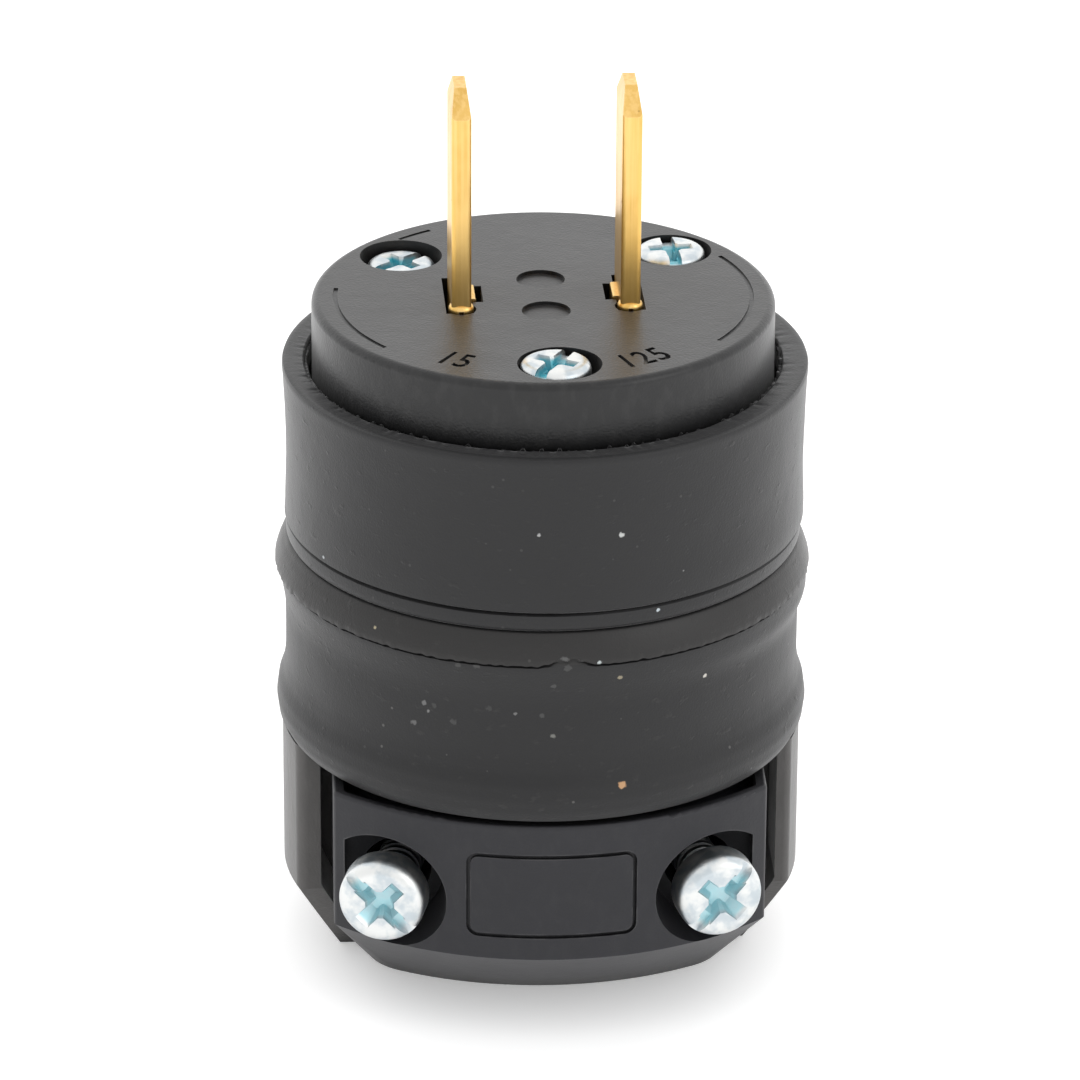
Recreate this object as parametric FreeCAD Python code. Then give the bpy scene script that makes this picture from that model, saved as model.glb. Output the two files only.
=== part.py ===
"""A two-pole plug with flat blades, a rubber sleeve and a screw-down cord clamp.

The plug stands on its cord end with the blades up. The origin is the middle of the
footprint, on the surface it stands on, +Z runs to the blades, and the clamp screws face -Y.
Lengths are in millimetres.
"""
import FreeCAD
import Part
import math
import os

V = FreeCAD.Vector
UP = V(0, 0, 1)
BACK = V(0, 1, 0)
ORIGIN = V(0, 0, 0)
SIDES = {"left": -1, "right": 1}

# Heights, stacked from the floor
base_height = 18.6
sleeve_length = 29.5
face_stand = 4.9
plate_height = 9.0
plate_wall = 3.0
floor_wall = 2.5
carrier_height = 4.0
terminal_room = 4.5

# Radii of the body, and the steps from the tube to the pieces round it
tube_radius = 18.0
tube_wall = 2.0
ledge_width = 0.9
base_step = 2.0
base_radius = tube_radius + base_step
sleeve_gap = 0.1
sleeve_wall = 1.6
plate_step = 0.5
plate_radius = tube_radius - plate_step
plate_skirt = 1.9
plate_edge = 0.6
carrier_gap = 0.1

# Lower end of the housing: its turn under the face, its bevel and the clamp half's space
body_turn = -1.3
foot_bevel_height = 6.4
foot_bevel_width = 3.9
wing_front = 6.6
wing_toe_front = 3.4
wing_edge = 0.95
clamp_side_gap = 1.1
clamp_toe_gap = 0.7
room_shift = 0.34
parting_y = 0.2
cord_radius = 4.8
cord_relief = 0.8
rib_height = 2.0
rib_levels = (4.0, 12.0)

# Sleeve: heights above its lower edge, and how far its features stand in or out
rim_edge = 0.3
rim_stand = 0.25
sleeve_waist_level = 21.7
seam_shoulder = 0.12
sleeve_waist = 0.15
seam_level = 16.95
seam_depth = 0.18
crease_level = 15.47
crease_depth = 0.32
ring_mid_level = 13.9
ring_level = 13.1
ring_mid_stand = 0.585
ring_stand = 0.79
ring_lip = 0.2
ring_lip_height = 0.1
ring_flank_stand = 0.355
ring_foot_level = 9.8
bead_top_level = 5.7
bead_flank_stand = 0.216
bead_level = 1.8
bead_stand = 0.72
bead_under_level = 0.72
bead_under_stand = 0.576
sleeve_end_stand = 0.2

# Face plate: counterbored screws on a circle, blade slots, plain dimples and line arcs
screw_inset = 4.1
screw_circle = plate_radius - screw_inset
screw_angles = {"front": -90.0, "left": 140.5, "right": 39.5}
screw_sink = {"front": 0.0, "left": 0.7, "right": 0.0}
counterbore_radius = 3.15
counterbore_depth = 1.5
counterbore_shift = 0.3
post_radius = 3.75
boss_radius = 3.0
boss_depth = 20.0
boss_floor = 1.5
slot_gap = 0.2
slot_outer_gap = 0.4
slot_back_gap = 0.55
pocket_width = 1.0
pocket_length = 3.2
pocket_shift = 0.4
dimple_radius = 1.85
dimple_depth = 0.3
dimple_shift = 3.15
line_inset = 1.8
line_radius = plate_radius - line_inset
line_width = 0.35
line_depth = 0.12
line_arcs = ((172.0, 218.0), (120.0, 131.0), (-38.0, 27.0))

# Blades
blade_spacing = 12.7
blade_width = 6.35
blade_thickness = 1.5
blade_length = 17.2
blade_edge = 0.35
tip_chamfer = 1.9
tip_taper = 0.28
nub_stand = 0.45
nub_length = 2.8
nub_height = 0.2
nub_edge = 0.15
fold_radius = 0.95
fold_stand = 0.3
fold_height = 0.5
fold_edge = 0.4
fold_gap = 0.35
fold_depth = 0.8
fold_gap_height = 0.15
root_width = 8.8
foot_width = 7.5
foot_room = 2.0
blade_middle = blade_spacing / 2
foot_reach = math.sqrt((tube_radius - tube_wall - foot_room) ** 2 - (foot_width / 2) ** 2)
foot_length = foot_reach - blade_middle - blade_thickness / 2

# Terminals
terminal_reach = (foot_length + blade_thickness) / 2
wire_plate_inset = 0.3
wire_plate_size = foot_length - 2 * wire_plate_inset
wire_plate_height = 1.0
terminal_head_radius = 2.7
terminal_head_height = 2.0
terminal_head_edge = 0.45
terminal_shank_length = 6.0
barrier_width = 1.8
barrier_gap = 0.3
wire_hole_radius = 2.4
wire_hole_x = 5.6
wire_hole_inset = 5.0
wire_hole_y = wire_hole_inset - screw_circle

# Screw shanks, clearances round them and drive recesses
machine_radius = 1.75
face_shank_radius = 1.4
thread_gap = 0.05
pass_gap = 0.3
face_head_radius = 2.65
face_head_height = 1.75
face_head_edge = 0.7
face_shank_length = 14.0
drive_length = 0.64
drive_width = 0.19
drive_depth = 1.3
drive_taper = 0.5
drive_middle = 0.34
slot_width = 0.95
slot_depth = 0.7
face_drive_angles = {"front": 60.0, "left": 40.0, "right": 95.0}

# Cord clamp half and its screws
clamp_inset = 3.55
clamp_half_width = base_radius - clamp_inset
clamp_shift = 0.14
clamp_front_inset = 0.3
clamp_front = base_radius - clamp_front_inset
clamp_arc_extra = 4.3
clamp_arc = base_radius + clamp_arc_extra
clamp_top_gap = 0.55
clamp_back = 3.2
clamp_corner = 0.6
clamp_edge = 0.3
clamp_lip = 0.8
clamp_lip_height = 1.5
chin_height = 6.8
chin_set_back = 8.65
chin_front = clamp_front - chin_set_back
chin_inset = 2.6
chin_half_width = clamp_half_width - chin_inset
chin_corner = 4.5
chin_corner_share = 1.4
clamp_screw_inset = 7.05
clamp_screw_x = base_radius - clamp_screw_inset
clamp_screw_drop = 7.5
clamp_screw_z = base_height - clamp_screw_drop
screw_splay = 13.0
clamp_hole_gap = 0.85
well_radius = 4.5
well_shift = 0.55
well_side_wall = 0.95
well_depth = 7.3
well_floor = clamp_front - well_depth
clamp_head_radius = 3.3
clamp_head_height = 2.6
clamp_head_edge = 1.0
clamp_head_inset = 1.4
clamp_head_face = base_radius - clamp_head_inset
clamp_screw_length = 25.4
clamp_drive_angles = {"left": -42.0, "right": 48.0}
nut_width = 6.35
nut_height = 2.4
nut_back = 6.2
nut_depth = clamp_head_face + nut_back
nut_gap = 0.1
tip_room = 3.2
panel_width = 12.85
panel_height = 7.0
panel_drop = 6.5
panel_level = base_height - panel_drop
panel_corner = 0.9
panel_line = 0.3
panel_depth = 0.3

# Levels and places that follow from the sizes above
sleeve_top = base_height + sleeve_length
face_level = sleeve_top + face_stand
plate_under = face_level - plate_wall
tube_top = face_level - plate_height
carrier_top = tube_top - terminal_room
carrier_bottom = carrier_top - carrier_height
chamber_floor = base_height + floor_wall
foot_top = carrier_top + blade_thickness
tube_bore = tube_radius - tube_wall
sleeve_bore = tube_radius + sleeve_gap
sleeve_radius = sleeve_bore + sleeve_wall
fold_y = fold_radius - fold_stand - blade_width / 2

# Lengths that leave no trace: how far cuts run past a face, and a reach beyond the whole plug
cut_over = 1.0
edge_share = 0.6
cut_reach = face_level + blade_length
hair = 1e-3


def cylinder(radius, length, base, direction=UP):
    """A round bar of this radius and length from its base point."""
    return Part.makeCylinder(radius, length, base, direction)


def block(low, high):
    """A box between two corners."""
    size = high - low
    return Part.makeBox(size.x, size.y, size.z, low)


def prism(points, direction):
    """The flat polygon through the points, carried along a direction."""
    wire = Part.makePolygon(points + [points[0]])
    return Part.Face(wire).extrude(direction)


def turned(edges):
    """The closed outline of edges in the XZ plane, turned round the Z axis."""
    face = Part.Face(Part.Wire(edges))
    return face.revolve(ORIGIN, UP, 360)


def line(start, end):
    """A straight edge between two (radius, height) points of a turned outline."""
    return Part.makeLine(V(start[0], 0, start[1]), V(end[0], 0, end[1]))


def arc(start, middle, end):
    """A round edge through three (radius, height) points of a turned outline."""
    points = [V(point[0], 0, point[1]) for point in (start, middle, end)]
    return Part.Arc(*points).toShape()


def lines(points):
    """Straight edges along a row of (radius, height) points."""
    return [line(points[i], points[i + 1]) for i in range(len(points) - 1)]


def circle_place(radius, angle, height):
    """The point at this radius, angle in degrees and height."""
    turn = math.radians(angle)
    return V(radius * math.cos(turn), radius * math.sin(turn), height)


def rounded_plate(width, height, corner, level, depth):
    """A rounded rectangle in the XZ plane, centred on X = 0, carried to -Y by a depth."""
    plate = block(V(-width / 2, -depth, level - height / 2), V(width / 2, 0, level + height / 2))
    upright = [edge for edge in plate.Edges if abs(edge.tangentAt(edge.FirstParameter).y) > 0.9]
    return plate.makeFillet(corner, upright)


def screw_place(name, height):
    """The axis of a face screw at a height."""
    return circle_place(screw_circle, screw_angles[name], height)


def drive(head_radius, angle):
    """The cross and slot cut into a screw head, which faces +Z at height zero."""
    half_long = head_radius * drive_length
    half_wide = head_radius * drive_width
    cuts = []
    for turn in (angle, angle + 90):
        top = Part.makePolygon([V(-half_long, -half_wide, 0), V(half_long, -half_wide, 0),
                                V(half_long, half_wide, 0), V(-half_long, half_wide, 0),
                                V(-half_long, -half_wide, 0)])
        foot = top.copy().scaled(drive_taper)
        foot.translate(V(0, 0, -drive_depth))
        arm = Part.makeLoft([top, foot], True, True)
        arm.rotate(ORIGIN, UP, turn)
        cuts.append(arm)
    middle = head_radius * drive_middle
    cuts.append(Part.makeCone(middle, middle * drive_taper, drive_depth, ORIGIN, -UP))
    slot = block(V(-head_radius * 2, -slot_width / 2, -slot_depth),
                 V(head_radius * 2, slot_width / 2, slot_depth))
    slot.rotate(ORIGIN, UP, angle)
    cuts.append(slot)
    return cuts[0].fuse(cuts[1:])


def screw(head_radius, head_height, edge_radius, shank_radius, length, angle):
    """A pan head screw pointing to -Z, with the top of its head at height zero."""
    head = cylinder(head_radius, head_height, V(0, 0, -head_height))
    rim = [edge for edge in head.Edges if edge.Closed and edge.BoundBox.ZMin > -hair]
    head = head.makeFillet(edge_radius, rim)
    shank = cylinder(shank_radius, length, V(0, 0, -head_height - length))
    end = [edge for edge in shank.Edges
           if edge.Closed and edge.BoundBox.ZMax < -head_height - length / 2]
    shank = shank.makeChamfer(shank_radius / 3, end)
    return head.fuse(shank).removeSplitter().cut(drive(head_radius, angle))


def make_sleeve():
    """The rubber sleeve: one turned wall with a rim, a seam, a crease, a ring and a bead."""
    outer = sleeve_radius
    waist = outer - sleeve_waist
    ring = outer + ring_stand
    top = sleeve_length
    half = seam_depth
    rim_radius = outer + rim_stand
    sag = rim_edge * (1 - math.sqrt(0.5))
    rim = [line((sleeve_bore, 0), (sleeve_bore, top)),
           line((sleeve_bore, top), (rim_radius - rim_edge, top)),
           arc((rim_radius - rim_edge, top), (rim_radius - sag, top - sag), (rim_radius, top - rim_edge))]
    upper = lines([(rim_radius, top - rim_edge), (outer, sleeve_waist_level),
                   (outer + seam_shoulder, seam_level + half), (outer - seam_depth, seam_level),
                   (outer, seam_level - half), (waist, crease_level + crease_depth / 2),
                   (waist - crease_depth, crease_level), (waist, crease_level - crease_depth / 2)])
    skirt = [arc((waist, crease_level - crease_depth / 2), (outer + ring_mid_stand, ring_mid_level),
                 (ring, ring_level)),
             line((ring, ring_level), (ring - ring_lip, ring_level - ring_lip_height)),
             arc((ring - ring_lip, ring_level - ring_lip_height),
                 (outer + ring_flank_stand, (ring_level + ring_foot_level) / 2),
                 (outer, ring_foot_level)),
             line((outer, ring_foot_level), (outer, bead_top_level))]
    bead = [arc((outer, bead_top_level), (outer + bead_flank_stand, (bead_top_level + bead_level) / 2),
                (outer + bead_stand, bead_level)),
            arc((outer + bead_stand, bead_level), (outer + bead_under_stand, bead_under_level),
                (outer + sleeve_end_stand, 0)),
            line((outer + sleeve_end_stand, 0), (sleeve_bore, 0))]
    sleeve = turned(rim + upper + skirt + bead)
    sleeve.translate(V(0, 0, base_height))
    return sleeve


def clamp_room():
    """The space in front that the clamp half and its travel need, narrower at the floor."""
    wide = clamp_half_width + clamp_side_gap
    narrow = chin_half_width + clamp_toe_gap
    room = prism([V(-wide, -cut_reach, base_height), V(-wide, -cut_reach, chin_height),
                  V(-narrow, -cut_reach, 0), V(narrow, -cut_reach, 0),
                  V(wide, -cut_reach, chin_height), V(wide, -cut_reach, base_height)],
                 V(0, cut_reach + parting_y, 0))
    room.translate(V(room_shift, 0, 0))
    ends = prism([V(-cut_reach, -cut_reach, 0), V(-cut_reach, -wing_toe_front, 0),
                  V(-cut_reach, -wing_front, foot_bevel_height), V(-cut_reach, -wing_front, base_height),
                  V(-cut_reach, -cut_reach, base_height)], V(2 * cut_reach, 0, 0))
    return room.fuse(ends)


def make_foot():
    """The housing's foot: bevelled, open in front between two wings, slotted for the nuts."""
    foot_radius = base_radius - foot_bevel_width
    foot = turned(lines([(0, 0), (foot_radius, 0), (base_radius, foot_bevel_height),
                         (base_radius, base_height), (0, base_height), (0, 0)]))
    foot = foot.cut(clamp_room())
    wing_end = math.sqrt(base_radius ** 2 - wing_front ** 2)
    for side in SIDES.values():
        ends = [edge for edge in foot.Edges
                if edge.BoundBox.DiagonalLength > base_height / 2 and edge.BoundBox.XLength < wing_edge
                and edge.BoundBox.YMax < wing_edge - wing_front and side * edge.BoundBox.XMin > tube_radius]
        wing_wall = wing_end - clamp_half_width - clamp_side_gap - side * room_shift
        foot = foot.makeFillet(min(wing_edge, wing_wall * edge_share), ends)
    cuts = []
    for side in SIDES.values():
        depth = clamp_head_height + clamp_screw_length + tip_room
        cuts.append(along_clamp_screw(cylinder(machine_radius + pass_gap, depth, ORIGIN, BACK), side))
        half = nut_width / 2 + nut_gap
        slot = block(V(-half, nut_depth - nut_gap, -base_height),
                     V(half, nut_depth + nut_height + nut_gap, half))
        cuts.append(along_clamp_screw(slot, side))
    foot = foot.cut(cuts)
    foot.rotate(ORIGIN, UP, body_turn)
    return foot


def make_tube():
    """The housing's tube, with its floor, the carrier's seat and three screw bosses."""
    tube = cylinder(tube_radius, tube_top - base_height, V(0, 0, base_height))
    chamber = cylinder(tube_bore - ledge_width, tube_top - chamber_floor, V(0, 0, chamber_floor))
    seat = cylinder(tube_bore, tube_top - carrier_bottom, V(0, 0, carrier_bottom))
    tube = tube.cut(chamber.fuse(seat))
    bosses = []
    for name in screw_angles:
        boss = cylinder(boss_radius, boss_depth, screw_place(name, tube_top - boss_depth))
        bosses.append(boss.common(cylinder(tube_radius, cut_reach, ORIGIN)))
    return tube.fuse(bosses)


def cord_passage(height):
    """The way of the cord up through the foot: wide, and narrow at the two ribs."""
    wide = cord_radius + cord_relief
    narrow = cylinder(cord_radius, height + cut_reach, V(0, 0, -cut_reach))
    levels = [-cut_reach]
    for level in rib_levels:
        levels += [level, level + rib_height]
    levels.append(height)
    spans = [cylinder(wide, levels[i + 1] - levels[i], V(0, 0, levels[i]))
             for i in range(0, len(levels), 2)]
    return narrow.fuse(spans)


def make_housing():
    """The moulded body: the foot and the tube in one piece, with the cord's way through both."""
    housing = make_foot().fuse(make_tube()).removeSplitter()
    cuts = [cord_passage(chamber_floor + cut_over)]
    for name in screw_angles:
        cuts.append(cylinder(face_shank_radius + thread_gap, boss_depth - boss_floor,
                             screw_place(name, tube_top - boss_depth + boss_floor)))
    return housing.cut(cuts)


def along_clamp_screw(shape, side):
    """A shape made along +Y from the origin, moved to start at a clamp screw's head face."""
    shape.rotate(ORIGIN, UP, side * screw_splay)
    shape.translate(V(side * clamp_screw_x, -clamp_head_face, clamp_screw_z))
    return shape


def make_clamp_nut(side):
    """A square nut in its slot, on the clamp screw's thread."""
    half = nut_width / 2
    nut = block(V(-half, nut_depth, -half), V(half, nut_depth + nut_height, half))
    bore = cylinder(machine_radius + thread_gap, nut_height, V(0, nut_depth, 0), BACK)
    nut = along_clamp_screw(nut.cut(bore), side)
    nut.rotate(ORIGIN, UP, body_turn)
    return nut


def clamp_section(half_width, front, corner, level):
    """The clamp half's closed plan outline at a level, with a round front and corners."""
    centre_y = clamp_arc - front
    fillet_y = centre_y - math.sqrt((clamp_arc - corner) ** 2 - (half_width - corner) ** 2)
    reach = clamp_arc / (clamp_arc - corner)
    touch = V((half_width - corner) * reach, centre_y - (centre_y - fillet_y) * reach, level)
    centre = V(half_width - corner, fillet_y, level)
    middle = V(touch.x - centre.x + corner, touch.y - centre.y, 0).normalize() * corner + centre
    side = V(half_width, fillet_y, level)
    mirror = [V(-point.x, point.y, point.z) for point in (touch, middle, side)]
    back = [V(-half_width, -clamp_back, level), V(half_width, -clamp_back, level)]
    edges = [Part.makeLine(back[0], back[1]), Part.makeLine(back[1], side),
             Part.Arc(side, middle, touch).toShape(),
             Part.Arc(touch, V(0, -front, level), mirror[0]).toShape(),
             Part.Arc(mirror[0], mirror[1], mirror[2]).toShape(), Part.makeLine(mirror[2], back[0])]
    return Part.Wire(edges)


def clamp_front_layer(depth, stand):
    """The skin of the clamp half's round front, from a depth inside to a height outside."""
    axis = V(0, clamp_arc - clamp_front, 0)
    skin = cylinder(clamp_arc + stand, base_height, axis)
    return skin.cut(cylinder(clamp_arc - depth, base_height, axis))


def panel_groove():
    """The line round the plain panel in the middle of the clamp half's front."""
    frame = rounded_plate(panel_width, panel_height, panel_corner, panel_level, cut_reach)
    inner = rounded_plate(panel_width - 2 * panel_line, panel_height - 2 * panel_line,
                          panel_corner - panel_line, panel_level, cut_reach)
    return frame.cut(inner).common(clamp_front_layer(panel_depth, cut_over))


def make_cord_clamp():
    """The loose clamp half: a round front with a lip round its top, a chin, wells and a jaw."""
    top = base_height - clamp_top_gap
    sag = clamp_arc - math.sqrt(clamp_arc ** 2 - chin_half_width ** 2)
    corner = min(chin_corner, (chin_front - clamp_back - sag) * chin_corner_share)
    foot = clamp_section(chin_half_width, chin_front, corner, 0)
    outline = clamp_section(clamp_half_width, clamp_front, clamp_corner, chin_height)
    chin = Part.makeLoft([foot, outline], True, True)
    body = Part.Face(outline).extrude(V(0, 0, top - chin_height))
    rim = [edge for edge in body.Edges
           if edge.BoundBox.ZMin > top - hair and edge.BoundBox.YMin < -clamp_back - hair]
    body = body.makeFillet(clamp_edge, rim)
    step = clamp_section(clamp_half_width - clamp_lip, clamp_front - clamp_lip, clamp_corner,
                         top - clamp_lip_height)
    body = body.fuse(chin).cut(Part.Face(step).extrude(V(0, 0, base_height)))
    body.translate(V(clamp_shift, 0, 0))
    cuts = [cord_passage(base_height), panel_groove()]
    well_side = clamp_half_width - well_side_wall
    for side in SIDES.values():
        hole = cylinder(machine_radius + clamp_hole_gap, cut_reach, ORIGIN, BACK)
        cuts.append(along_clamp_screw(hole, side))
        well = cylinder(well_radius, cut_reach - well_floor,
                        V(side * (clamp_screw_x - well_shift), -cut_reach, clamp_screw_z), BACK)
        cuts.append(well.common(block(V(-well_side, -cut_reach, 0), V(well_side, 0, base_height))))
    clamp = body.cut(cuts).removeSplitter()
    clamp.rotate(ORIGIN, UP, body_turn)
    return clamp


def make_clamp_screw(side, name):
    """A long pan head screw, backed out so that its head stands proud of the well."""
    bolt = screw(clamp_head_radius, clamp_head_height, clamp_head_edge, machine_radius,
                 clamp_screw_length, clamp_drive_angles[name])
    bolt.rotate(ORIGIN, V(1, 0, 0), 90)
    bolt = along_clamp_screw(bolt, side)
    bolt.rotate(ORIGIN, UP, body_turn)
    return bolt


def blade_slot(side):
    """The slot of one blade through the face, with room for the fold's end and for the nub."""
    middle = side * blade_spacing / 2
    half = blade_thickness / 2
    across = sorted((middle - side * (half + slot_gap), middle + side * (half + slot_outer_gap)))
    slot = block(V(across[0], -blade_width / 2 - slot_gap, plate_under - cut_over),
                 V(across[1], blade_width / 2 + slot_back_gap, face_level + cut_over))
    inner = sorted((middle, middle - side * (half + pocket_width)))
    pocket = block(V(inner[0], pocket_shift - pocket_length / 2, plate_under - cut_over),
                   V(inner[1], pocket_shift + pocket_length / 2, face_level + cut_over))
    fold_room = cylinder(fold_radius + slot_gap, plate_wall + 2 * cut_over,
                         V(middle, fold_y, plate_under - cut_over))
    return slot.fuse([pocket, fold_room])


def line_groove(start, end):
    """A shallow groove along an arc of the face, between two angles."""
    ring = Part.makeCylinder(line_radius + line_width / 2, line_depth + cut_over,
                             V(0, 0, face_level - line_depth), UP, end - start)
    hole = cylinder(line_radius - line_width / 2, line_depth + cut_over, V(0, 0, face_level - line_depth))
    ring.rotate(ORIGIN, UP, start)
    return ring.cut(hole)


def make_face_plate():
    """The face: a cap with a skirt, three screw posts, two blade slots and shallow marks."""
    cap = cylinder(plate_radius, plate_height, V(0, 0, tube_top))
    rim = [edge for edge in cap.Edges if edge.Closed and edge.BoundBox.ZMin > face_level - hair]
    cap = cap.makeFillet(plate_edge, rim)
    room = cylinder(plate_radius - plate_skirt, plate_under - tube_top, V(0, 0, tube_top))
    posts = [cylinder(post_radius, plate_height, screw_place(name, tube_top)) for name in screw_angles]
    cap = cap.cut(room.cut(posts))
    cuts = [blade_slot(side) for side in SIDES.values()]
    for name in screw_angles:
        depth = counterbore_depth + screw_sink[name]
        shift = V(counterbore_shift, 0, 0) if name == "front" else ORIGIN
        cuts.append(cylinder(counterbore_radius, depth + cut_over,
                             screw_place(name, face_level - depth) + shift))
        cuts.append(cylinder(face_shank_radius + pass_gap, plate_height, screw_place(name, tube_top)))
    for side in (-1, 1):
        cuts.append(cylinder(dimple_radius, dimple_depth + cut_over,
                             V(0, side * dimple_shift, face_level - dimple_depth)))
    cuts += [line_groove(start, end) for start, end in line_arcs]
    return cap.cut(cuts)


def make_face_screw(name):
    """A pan head screw through the face into the housing's boss."""
    depth = counterbore_depth + screw_sink[name]
    bolt = screw(face_head_radius, face_head_height, face_head_edge, face_shank_radius,
                 face_shank_length, face_drive_angles[name])
    bolt.translate(screw_place(name, face_level - depth + face_head_height))
    return bolt


def blade_strip():
    """The straight part of a blade, centred on X = 0, with rounded edges and a cut tip."""
    tip = face_level + blade_length
    half = blade_width / 2
    thick = blade_thickness / 2
    strip = block(V(-thick, -half, carrier_top), V(thick, half, tip))
    upright = [edge for edge in strip.Edges if edge.BoundBox.ZLength > blade_length]
    strip = strip.makeFillet(blade_edge, upright)
    side_view = prism([V(-thick, -half, carrier_top), V(-thick, half, carrier_top),
                       V(-thick, half, tip - tip_chamfer), V(-thick, half - tip_chamfer, tip),
                       V(-thick, tip_chamfer - half, tip), V(-thick, -half, tip - tip_chamfer)],
                      V(blade_thickness, 0, 0))
    front_view = prism([V(-thick, -half, carrier_top), V(thick, -half, carrier_top),
                        V(thick, -half, tip - tip_chamfer), V(thick - tip_taper, -half, tip),
                        V(tip_taper - thick, -half, tip), V(-thick, -half, tip - tip_chamfer)],
                       V(0, blade_width, 0))
    return strip.common(side_view).common(front_view)


def make_blade(side):
    """A folded blade: tip, nub, the round open end of the fold, wide root and wire foot."""
    thick = blade_thickness / 2
    blade = blade_strip()
    nub = block(V(0, pocket_shift - nub_length / 2, plate_under),
                V(thick + nub_stand, pocket_shift + nub_length / 2, face_level + nub_height))
    top = [edge for edge in nub.Edges if edge.BoundBox.ZMin > face_level and edge.BoundBox.XMin > thick]
    nub = nub.makeFillet(nub_edge, top)
    root = block(V(-thick, -root_width / 2, carrier_top), V(thick, root_width / 2, plate_under))
    foot = block(V(-thick - foot_length, -foot_width / 2, carrier_top), V(thick, foot_width / 2, foot_top))
    fold = cylinder(fold_radius, plate_wall + fold_height, V(0, fold_y, plate_under))
    brim = [edge for edge in fold.Edges if edge.Closed and edge.BoundBox.ZMin > face_level]
    fold = fold.makeFillet(fold_edge, brim)
    gap = block(V(-fold_gap / 2, fold_y - fold_radius - cut_over, face_level - plate_wall),
                V(fold_gap / 2, fold_y - fold_radius + fold_depth, face_level + fold_gap_height))
    blade = blade.fuse([nub, root, foot, fold]).removeSplitter().cut(gap)
    hole = cylinder(machine_radius + thread_gap, blade_thickness, V(-terminal_reach, 0, carrier_top))
    blade = blade.cut(hole)
    if side > 0:
        blade = blade.mirror(ORIGIN, V(1, 0, 0))
    blade.translate(V(side * blade_spacing / 2, 0, 0))
    return blade


def terminal_place(side, height):
    """The axis of a wire terminal at a height."""
    return V(side * (blade_spacing / 2 + terminal_reach), 0, height)


def make_wire_plate(side):
    """The square plate that presses the wire onto the blade's foot."""
    half = wire_plate_size / 2
    centre = terminal_place(side, foot_top)
    plate = block(centre - V(half, half, 0), centre + V(half, half, wire_plate_height))
    return plate.cut(cylinder(machine_radius + pass_gap, wire_plate_height, centre))


def make_terminal_screw(side):
    """The terminal's screw, through the plate and the foot into the carrier's relief."""
    bolt = screw(terminal_head_radius, terminal_head_height, terminal_head_edge, machine_radius,
                 terminal_shank_length, 0)
    bolt.translate(terminal_place(side, foot_top + wire_plate_height + terminal_head_height))
    return bolt


def make_terminal_carrier():
    """The insulating disc under the terminals, with a barrier between the two poles."""
    disc = cylinder(tube_bore - carrier_gap, carrier_height, V(0, 0, carrier_bottom))
    reach = screw_circle - post_radius - barrier_gap
    barrier = block(V(-barrier_width / 2, -reach, carrier_bottom),
                    V(barrier_width / 2, reach, plate_under - barrier_gap))
    cuts = [cylinder(boss_radius + carrier_gap, cut_reach, screw_place(name, carrier_bottom))
            for name in screw_angles]
    for side in SIDES.values():
        relief = terminal_shank_length - wire_plate_height - blade_thickness
        cuts.append(cylinder(machine_radius + pass_gap, relief + pass_gap,
                             terminal_place(side, carrier_top - relief - pass_gap)))
        cuts.append(cylinder(wire_hole_radius, carrier_height,
                             V(side * wire_hole_x, wire_hole_y, carrier_bottom)))
    return disc.fuse(barrier).removeSplitter().cut(cuts)


def build():
    """Every piece by its name."""
    pieces = {"housing": make_housing(), "sleeve": make_sleeve(), "face_plate": make_face_plate(),
              "terminal_carrier": make_terminal_carrier(), "cord_clamp": make_cord_clamp()}
    for name, side in SIDES.items():
        pieces["blade_" + name] = make_blade(side)
        pieces["wire_plate_" + name] = make_wire_plate(side)
        pieces["terminal_screw_" + name] = make_terminal_screw(side)
        pieces["clamp_screw_" + name] = make_clamp_screw(side, name)
        pieces["clamp_nut_" + name] = make_clamp_nut(side)
    for name in screw_angles:
        pieces["face_screw_" + name] = make_face_screw(name)
    return pieces


def main():
    """Write one STEP file for each piece."""
    os.makedirs("parts", exist_ok=True)
    for name, shape in build().items():
        if len(shape.Solids) != 1 or not shape.isValid():
            raise ValueError(name + " is not one sound solid")
        solid = shape.Solids[0]
        solid.exportStep("parts/" + name + ".step")
        print(name, round(solid.Volume, 1))


main()
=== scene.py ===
"""The looks of a two-pole plug with flat blades, standing on its cord end.

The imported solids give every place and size. The rubber sleeve and the engraved face are worked
out here, the other pieces keep their solids, and each piece gets a finish of its own.
Lengths are in metres; mm turns the shop sizes into them.
"""
import math

import bmesh
import bpy
import numpy as np
from mathutils import Matrix, Vector


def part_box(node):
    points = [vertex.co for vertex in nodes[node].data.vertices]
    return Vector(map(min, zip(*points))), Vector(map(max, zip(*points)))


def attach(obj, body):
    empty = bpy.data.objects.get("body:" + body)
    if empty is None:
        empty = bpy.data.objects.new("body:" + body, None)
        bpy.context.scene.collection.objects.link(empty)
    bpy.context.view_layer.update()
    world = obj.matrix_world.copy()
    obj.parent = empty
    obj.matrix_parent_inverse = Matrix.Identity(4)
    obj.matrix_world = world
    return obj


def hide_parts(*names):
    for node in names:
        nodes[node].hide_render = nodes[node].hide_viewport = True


mm = 0.001

# The plug's own sizes that the looks need
FACE_LEVEL = 53.0 * mm
BASE_HEIGHT = 18.6 * mm
SLEEVE_BORE = 18.1 * mm
BODY_TURN = math.radians(-1.3)
SCREW_SPLAY = math.radians(13.0)
CLAMP_HEAD_FACE = Vector((12.95, -18.6, 11.1)) * mm
CLAMP_HEAD_RADIUS = 3.3 * mm
CLAMP_HEAD_HEIGHT = 2.6 * mm
FACE_HEAD_RADIUS = 2.65 * mm
FACE_HEAD_HEIGHT = 1.75 * mm
THREAD_PITCH = 0.8 * mm
FLANK_FOOT = 31.6 * mm
FLANK_TOP = 34.1 * mm

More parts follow.
